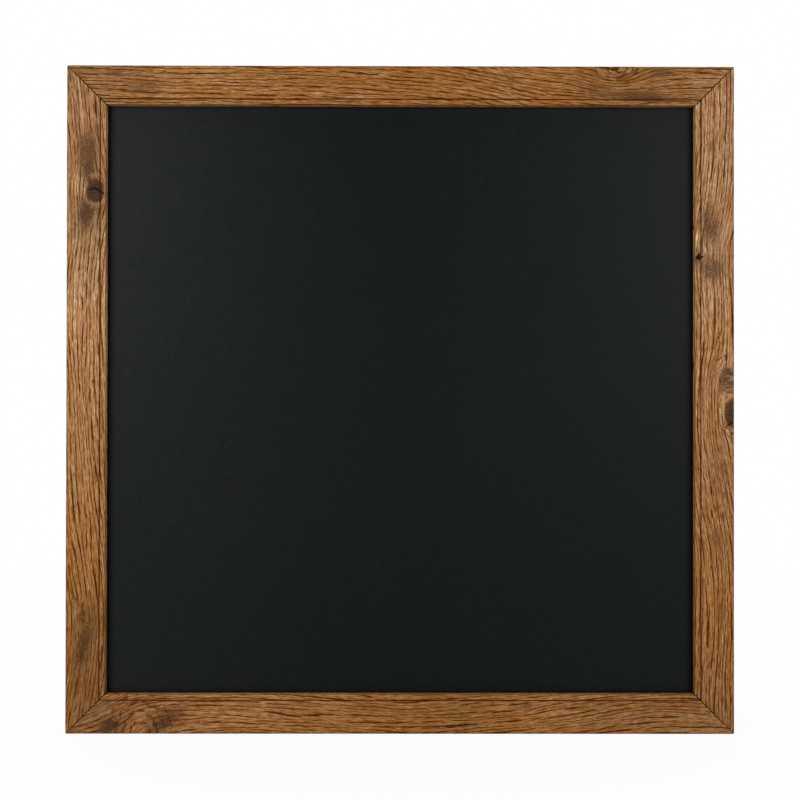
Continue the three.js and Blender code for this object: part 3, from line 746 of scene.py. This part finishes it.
hardboardLook = {
    "pale": (139, 98, 64),
    "brown": (112, 74, 46),
    "dark": (70, 45, 28),
    "screen": 0.0016,  # mesh of the screen that the board was pressed on, in metres
    "slant": 0.7071,  # sine and cosine of the screen's 45 degrees
}


# pressed fibres under the screen's print: sin(u) sin(v) along the two diagonals
def hardboardFinish(look):
    f = Finish("hardboard", {"Specular IOR Level": 0.25})
    place = f.objectPlace()
    x, _, z = f.parts(place)
    wave = 2 * math.pi / look["screen"]
    weave = ((x + z) * wave * look["slant"]).sin() * ((x - z) * wave * look["slant"]).sin() * 0.5 + 0.5
    fibre = f.noise(place, (0.004, 0.004, 0.0012), 3.0, 0.65, 0.6)
    cloud = f.noise(place, 0.07, 3.0)
    flecks = f.noise(place, (0.0021, 0.0021, 0.0009), 2.0).step(0.6, 0.72)
    colour = f.mix(fibre.step(0.3, 0.7), look["brown"], look["pale"])
    colour = f.mix((1 - weave) * 0.35 + flecks * 0.4, colour, look["dark"])
    colour = f.tint(colour, cloud * 0.4 + 0.8)
    rough = 0.78 + (fibre - 0.5) * 0.2
    return f.surface(colour, rough, weave + fibre * 0.6, 0.00015, 0.7)


metalLook = {
    "zinc": {"colour": (188, 190, 192), "stain": (120, 118, 112), "rough": 0.34, "cell": 0.004},
    "steel": {"colour": (150, 151, 153), "stain": (84, 76, 68), "rough": 0.4, "cell": 0.003},
    "nail": {"colour": (128, 128, 130), "stain": (70, 58, 48), "rough": 0.45, "cell": 0.002},
}


# plated or bare steel: spangles in cells, stains in clouds and fine scratches
def metalFinish(name, look):
    f = Finish(name, {"Metallic": 1.0})
    place = f.objectPlace()
    spangle = f.cells(place, look["cell"])
    scratch = f.noise(place, (0.0002, 0.0002, 0.006), 2.0)
    stain = f.noise(place, (0.006, 0.006, 0.009), 3.0, 0.6).step(0.52, 0.74)
    colour = f.mix(spangle.step(0.1, 0.8) * 0.18, look["colour"], look["stain"])
    colour = f.mix(stain * 0.45, colour, look["stain"])
    rough = look["rough"] + (spangle - 0.4) * 0.12 + stain * 0.18 + (scratch - 0.5) * 0.15
    return f.surface(colour, rough, scratch, 0.00003, 0.5)


rubberLook = {"clean": (34, 34, 35), "dusty": (62, 60, 57), "rough": 0.72}


# moulded rubber: a fine grit in the surface and clouds of dust
def rubberFinish(look):
    f = Finish("grey rubber", {"Specular IOR Level": 0.35})
    place = f.objectPlace()
    grit = f.noise(place, 0.0006, 2.0)
    dust = f.noise(place, 0.004, 3.0, 0.6)
    colour = f.mix(dust.step(0.35, 0.75), look["clean"], look["dusty"])
    rough = look["rough"] + (grit - 0.5) * 0.25
    return f.surface(colour, rough, grit, 0.0001, 0.5)


# a CAD node shown as it is, in a finish of its own
def dress(node, finish):
    mesh = nodes[node].data
    mesh.materials.clear()
    mesh.materials.append(finish)


# a closed outline round a bent line: each point moves off by half the width along the mitred normal
def stripRound(line, width):
    step = np.diff(line, axis=0)
    step /= np.linalg.norm(step, axis=1, keepdims=True)
    before, after = np.vstack([step[:1], step]), np.vstack([step, step[-1:]])
    along = before + after
    along /= np.linalg.norm(along, axis=1, keepdims=True)
    off = np.stack([-along[:, 1], along[:, 0]], axis=1) * (width / 2 / (along * before).sum(1))[:, None]
    return np.vstack([line + off, (line - off)[::-1]])


vNail = {
    "wing": 5.0,
    "flare": 1.0,  # length of the bent ends
    "thick": 0.6,
    "high": 10.0,
    "half": 50.0,  # degrees from the mitre to a wing
    "flareHalf": 75.0,
    "proud": 0.02,
    "eased": ((-0.6, 1.0), (-0.12, 1.0), (0.0, 0.985)),  # height and share of full size near the top
    "tip": 0.94,  # share of full size at the sharpened edge
}


# a V-nail: its bent strip pushed from inside the wood to just past the back face
def cornerNail(name, right, up, distance, finish):
    v = vNail
    inward, sideways = np.array([1.0, -1.0]) / math.sqrt(2), np.array([1.0, 1.0]) / math.sqrt(2)

    def ahead(turn, way):
        return inward * math.cos(math.radians(turn)) + sideways * way * math.sin(math.radians(turn))

    apex = np.array([distance, -distance])
    bends = [apex + v["wing"] * ahead(v["half"], way) for way in (1, -1)]
    ends = [bends[i] + v["flare"] * ahead(v["flareHalf"], way) for i, way in enumerate((1, -1))]
    outline = stripRound(np.array([ends[0], bends[0], apex, bends[1], ends[1]]), v["thick"])
    middle = outline.mean(0)
    levels, sizes = np.array([(-v["high"], v["tip"]), *v["eased"]]).T
    flat = middle + (outline[None] - middle) * sizes[:, None, None]
    x = right * (halfSide - flat[..., 0])
    y = (levels + board["back"] + v["proud"])[:, None]
    z = board["middle"] + up * (halfSide + flat[..., 1])
    return makePiece(name + "_strip", (x, y, z), finish, name)


point = {
    "width": 6.0,
    "thick": 0.5,
    "inWood": 6.0,
    "onBoard": 9.0,
    "taper": 3.0,  # length of the nose's taper
    "nose": 0.8,
    "front": -9.2,  # y of its front face
    "edge": 0.35,  # power that rounds the section: 1 is an ellipse, 0 a box
}


# a flexible point: a flat section with edges rounded by sign(t) |t|^0.35, carried along its length; its half
# width is the tail's circle sqrt(r^2 - u^2) or the nose's taper, whichever is less
def flexPoint(name, middle, out, finish):
    v = point
    half = v["width"] / 2
    tailMiddle = -v["onBoard"] + half
    tailRows, noseRows = np.linspace(-v["onBoard"], tailMiddle, 9), np.linspace(tailMiddle, v["inWood"], 10)
    length = np.unique(np.concatenate([tailRows, noseRows]))
    tail = np.sqrt(np.clip(half ** 2 - (tailMiddle - length).clip(0) ** 2, 0.02, None))
    nose = np.interp(length, [v["inWood"] - v["taper"], v["inWood"]], [half, v["nose"] / 2])
    turn = around(16)
    section = np.stack([np.cos(turn), np.sin(turn)])
    wide, thick = np.sign(section) * np.abs(section) ** v["edge"]
    u = np.minimum(tail, nose)[:, None] * wide[None]
    y = v["front"] + v["thick"] / 2 + (v["thick"] / 2 * thick[None] + 0 * u)
    across = np.array([-out[1], out[0]], float)
    spot = np.array(middle, float) + length[:, None, None] * np.array(out, float) + u[..., None] * across
    rings = spot[..., 0], y, spot[..., 1] + board["middle"]
    return makePiece(name + "_plate", rings, finish, name)


ringWire = {
    "inner": 14.0,  # inside width
    "wire": 1.0,  # radius of the wire
    "reach": 15.5,  # axis to the middle of the bow's wire
    "corner": 2.0,
    "axis": -2.6,  # y of the axis it swings on
    "rest": 3.329,  # degrees that it hangs away from straight down
}


# a D-ring: a circle of wire carried along bow, arm, bar and arm, then turned out by its rest angle
def dRing(name, x, axis, body, finish):
    v = ringWire
    arm, reach, corner = v["inner"] / 2 + v["wire"], v["reach"], v["corner"]
    bow, bend = np.linspace(0, np.pi, 41), np.linspace(0, np.pi / 2, 9)
    line = np.vstack([
        np.stack([arm * np.cos(bow), reach - arm + arm * np.sin(bow)], 1),
        np.stack([np.full(6, -arm), np.linspace(reach - arm, corner, 8)[1:-1]], 1),
        np.stack([corner - arm - corner * np.cos(bend), corner - corner * np.sin(bend)], 1),
        np.stack([np.linspace(corner - arm, arm - corner, 10)[1:-1], np.zeros(8)], 1),
        np.stack([arm - corner + corner * np.sin(bend), corner - corner * np.cos(bend)], 1),
        np.stack([np.full(6, arm), np.linspace(corner, reach - arm, 8)[1:-1]], 1),
    ])
    way = np.roll(line, -1, 0) - np.roll(line, 1, 0)
    way /= np.linalg.norm(way, axis=1, keepdims=True)
    turn = around(14)
    out = v["wire"] * np.cos(turn)[None, :, None] * np.stack([way[:, 1], -way[:, 0]], 1)[:, None, :]
    flat, lift = line[:, None, :] + out, v["wire"] * np.sin(turn)[None] + 0 * out[..., 0]
    cosine, sine = math.cos(math.radians(v["rest"])), math.sin(math.radians(v["rest"]))
    y = v["axis"] + lift * cosine + flat[..., 1] * sine
    z = axis + lift * sine - flat[..., 1] * cosine
    rings = x + flat[..., 0], y, z
    return makePiece(name + "_wire", rings, finish, name, body, joined=True)


screw = {
    "head": 3.3,
    "rim": 0.9,  # straight side of the head
    "high": 2.3,
    "length": 13.0,
    "neck": 2.4,  # plain shank under the head
    "thread": 1.75,
    "root": 1.25,
    "pitch": 1.6,
    "tip": 2.8,  # length over which the thread runs to a point
    "cross": 1.8,  # the recess, from its middle out
    "slot": 0.42,  # half its width
    "deep": 1.3,
    "flat": 0.72,  # share of the head's radius with the closest rings
    "seat": -2.8,  # y of the head's underside
}


# a pan-head screw: its profile spun round, with the head's top lowered by the cross recess
# depth * step(|x| < slot or |y| < slot) * step(radius < cross)
def panScrew(name, x, z, turned, finish):
    v = screw
    head, rise = v["head"], v["high"] - v["rim"]
    dome = np.linspace(0, np.pi / 2, 10)
    topRadii = np.linspace(0.02, v["flat"], 15) * head
    topHeights = v["rim"] + rise * np.sqrt(1 - (topRadii / head) ** 2)
    side = dome[dome < math.acos(v["flat"])][::-1]
    thread = np.linspace(-v["neck"], -v["length"] + 0.4, 58)
    crest = 0.5 + 0.5 * np.cos(2 * np.pi * thread / v["pitch"])
    shank = v["root"] + (v["thread"] - v["root"]) * crest ** 2
    shank = shank * np.clip((v["length"] + thread) / v["tip"], 0.05, 1)
    under = [head, head - 0.05, v["thread"], v["thread"]]
    radii = np.concatenate([topRadii, head * np.cos(side), under, shank])
    underHeights = [0.12, 0.0, 0.0, -v["neck"]]
    heights = np.concatenate([topHeights, v["rim"] + rise * np.sin(side), underHeights, thread])
    turn = around(72)
    px, pz = radii[:, None] * np.cos(turn), radii[:, None] * np.sin(turn)
    inCross = np.maximum(1 - np.abs(px) / v["slot"], 1 - np.abs(pz) / v["slot"])
    inCross = np.clip(inCross * 3, 0, 1) * np.clip((v["cross"] - radii) * 4, 0, 1)[:, None]
    cone = 1 - 0.45 * np.clip(radii / v["cross"], 0, 1)[:, None]
    y = heights[:, None] - v["deep"] * inCross * cone * (heights > v["rim"])[:, None]
    cosine, sine = math.cos(turned), math.sin(turned)
    rings = x + px * cosine + pz * sine, v["seat"] + y, z - px * sine + pz * cosine
    return makePiece(name + "_turned", rings, finish, name)


bumper = {
    "radius": 6.0,
    "high": 4.5,
    "taper": 0.4,
    "rim": 0.8,
    "dish": 0.18,  # depth of the ring in its top
    "dishRadius": 0.55,  # as a share of the flat top
    "dishWidth": 0.7,
}


# a bumper: a tapering side, a rim rounded by r(1 - sin t) and a top with a ring exp(-u^2) dished into it
def wallBumper(name, x, z, finish):
    v = bumper
    top = v["radius"] - v["taper"] - v["rim"]
    turn = np.linspace(0, np.pi / 2, 7)
    flat = np.linspace(top, 0.05, 14)[1:]
    dish = v["dish"] * np.exp(-((flat - top * v["dishRadius"]) / v["dishWidth"]) ** 2)
    radii = np.concatenate([[v["radius"] - 0.1, v["radius"]], top + v["rim"] * np.cos(turn), flat])[:, None]
    heights = np.concatenate([[0.0, 0.15], v["high"] - v["rim"] * (1 - np.sin(turn)), v["high"] - dish])
    circle = around(44)
    y = (heights - v["high"])[:, None]
    rings = x + radii * np.cos(circle), y, z + radii * np.sin(circle)
    return makePiece(name + "_foot", rings, finish, name)


# where the hardware sits, in millimetres
places = {
    "hangerDrop": 110.0,  # the frame's top edge to the rings' axis
    "screwDrops": (23, 38),  # the axis to the screws
    "screwTurn": 35,  # degrees between one screw's recess and the next
    "nails": {"outer": 8, "inner": 19},  # in from the corner along both sides
    "bumperIn": 45.0,  # from the frame's side to a bumper's middle
}
ringAxis = board["middle"] + halfSide - places["hangerDrop"]

print("boards and hardware")
dress("writing_panel", coatingFinish(coatingLook))
dress("backing_board", hardboardFinish(hardboardLook))
zinc = metalFinish("zinc plate", metalLook["zinc"])
steel = metalFinish("spring steel", metalLook["steel"])
nail = metalFinish("nail steel", metalLook["nail"])
rubber = rubberFinish(rubberLook)
for way, side in ((-1, "left"), (1, "right")):
    dress("strap_" + side, zinc)
    sharpen(dRing("ring_" + side, way * backMiddle, ringAxis, "ring_" + side, zinc), 60)
    for i, drop in enumerate(places["screwDrops"]):
        turned = math.radians(places["screwTurn"] * (i + way))
        sharpen(panScrew(f"screw_{side}_{i + 1}", way * backMiddle, ringAxis - drop, turned, zinc), 40)
for up, level in ((1, "top"), (-1, "bottom")):
    for right, side in ((-1, "left"), (1, "right")):
        corner = f"{level}_{side}"
        for row, distance in places["nails"].items():
            cornerNail(f"v_nail_{corner}_{row}", right, up, distance, nail)
        across, height = right * (halfSide - places["bumperIn"]), board["middle"] + up * backMiddle
        sharpen(wallBumper("bumper_" + corner, across, height, rubber), 40)
for side, out in (("top", (0, 1)), ("bottom", (0, -1)), ("right", (1, 0)), ("left", (-1, 0))):
    for i in range(3):
        low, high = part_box(f"point_{side}_{i + 1}")
        place = ((low + high) / 2) / mm
        level = place.z - board["middle"]
        spot = (place.x, out[1] * rebateWall) if out[0] == 0 else (out[0] * rebateWall, level)
        sharpen(flexPoint(f"point_{side}_{i + 1}", spot, out, steel), 40)

# floor, lights and camera
studio = {
    "floor": ((236, 236, 235), (228, 228, 227)),
    "floorHalf": 9.0,  # metres from the middle to the floor's edges
    "floorGlow": 0.91,  # how much of the floor's white the camera gets without light, near the board
    "glowGrows": (0.2, 2.2),  # squares of the distances between which the glow grows to all of it
    "room": 0.45,  # level of the room's even light
    "lamps": [  # name, place, aims at, width, height, watts
        ("left soft box", (-1.1, -1.5, 0.45), (0, 0, -0.1), 0.7, 1.2, 14),
        ("right soft box", (1.12, -1.5, 0.4), (0, 0, -0.1), 0.7, 1.2, 12),
        ("low soft box", (0.0, -2.2, -0.3), (0, 0, -0.25), 2.2, 0.4, 4),
        ("top soft box", (0.0, -0.2, 1.9), (0, 0, -0.5), 2.0, 1.6, 22),
        ("back left soft box", (-1.4, 1.8, 0.6), (0, 0, -0.2), 1.2, 1.2, 16),
        ("back right soft box", (1.4, 1.8, 0.4), (0, 0, -0.2), 1.2, 1.2, 12),
    ],
}


# a pale floor with faint clouds, and a white glow for the camera that grows with the distance squared
def floorFinish(look):
    f = Finish("studio floor", {"Roughness": 0.9, "Specular IOR Level": 0.1})
    place = f.objectPlace()
    colour = f.mix(f.noise(place, 0.4, 3.0) * 0.1, *look["floor"])
    f.feed(f.shader.inputs["Base Color"], colour)
    x, y, _ = f.parts(place)
    glow = (x * x + y * y).step(*look["glowGrows"], look["floorGlow"], 1.0)
    return f.whiteFor(("Is Camera Ray", "Is Glossy Ray"), "ShaderNodeEmission", glow)


# a flat grid at the height of the part's lowest point
def floorSheet(look):
    edge = np.linspace(-look["floorHalf"], look["floorHalf"], 7)
    x, y = np.meshgrid(edge, edge, indexing="ij")
    points = np.stack([x, y, np.full(x.shape, cadLow[2])], axis=-1).reshape(-1, 3)
    mesh = bpy.data.meshes.new("floor")
    mesh.from_pydata(points.tolist(), [], gridQuads(*x.shape).tolist())
    floor = bpy.data.objects.new("floor", mesh)
    bpy.context.scene.collection.objects.link(floor)
    mesh.materials.append(floorFinish(look))
    floor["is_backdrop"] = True


# even light from all round, which the camera sees as white
def worldLight(look):
    even = {"Color": [1, 1, 1, 1], "Strength": look["room"]}
    f = Finish("studio", even, bpy.data.worlds, "World", "Background")
    rays = ("Is Camera Ray", "Is Glossy Ray", "Is Transmission Ray")
    bpy.context.scene.world = f.whiteFor(rays, "ShaderNodeBackground")


def lamps(look):
    for name, place, target, width, height, watts in look["lamps"]:
        light = bpy.data.lights.new(name, "AREA")
        light.shape = "RECTANGLE"
        light.size, light.size_y = width, height
        light.energy = watts
        lamp = bpy.data.objects.new(name, light)
        lamp.location = place
        lamp.rotation_euler = (Vector(target) - Vector(place)).to_track_quat("-Z", "Z").to_euler()
        bpy.context.scene.collection.objects.link(lamp)


view = {
    "place": (-0.00509, -1.20465, -0.21227),
    "turn": (90.352, -0.0824, -0.2261),  # degrees
    "lens": 59.143,
    "sensor": 36.0,
    "clip": (0.01, 60),
}


def camera(look):
    lens = bpy.data.cameras.new("camera")
    lens.sensor_width = look["sensor"]
    lens.lens = look["lens"]
    lens.clip_start, lens.clip_end = look["clip"]
    body = bpy.data.objects.new("camera", lens)
    body.location = look["place"]
    body.rotation_euler = [math.radians(v) for v in look["turn"]]
    bpy.context.scene.collection.objects.link(body)
    bpy.context.scene.camera = body


print("studio")
floorSheet(studio)
worldLight(studio)
lamps(studio)
camera(view)
bpy.context.scene.view_settings.view_transform = "Standard"

low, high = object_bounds()
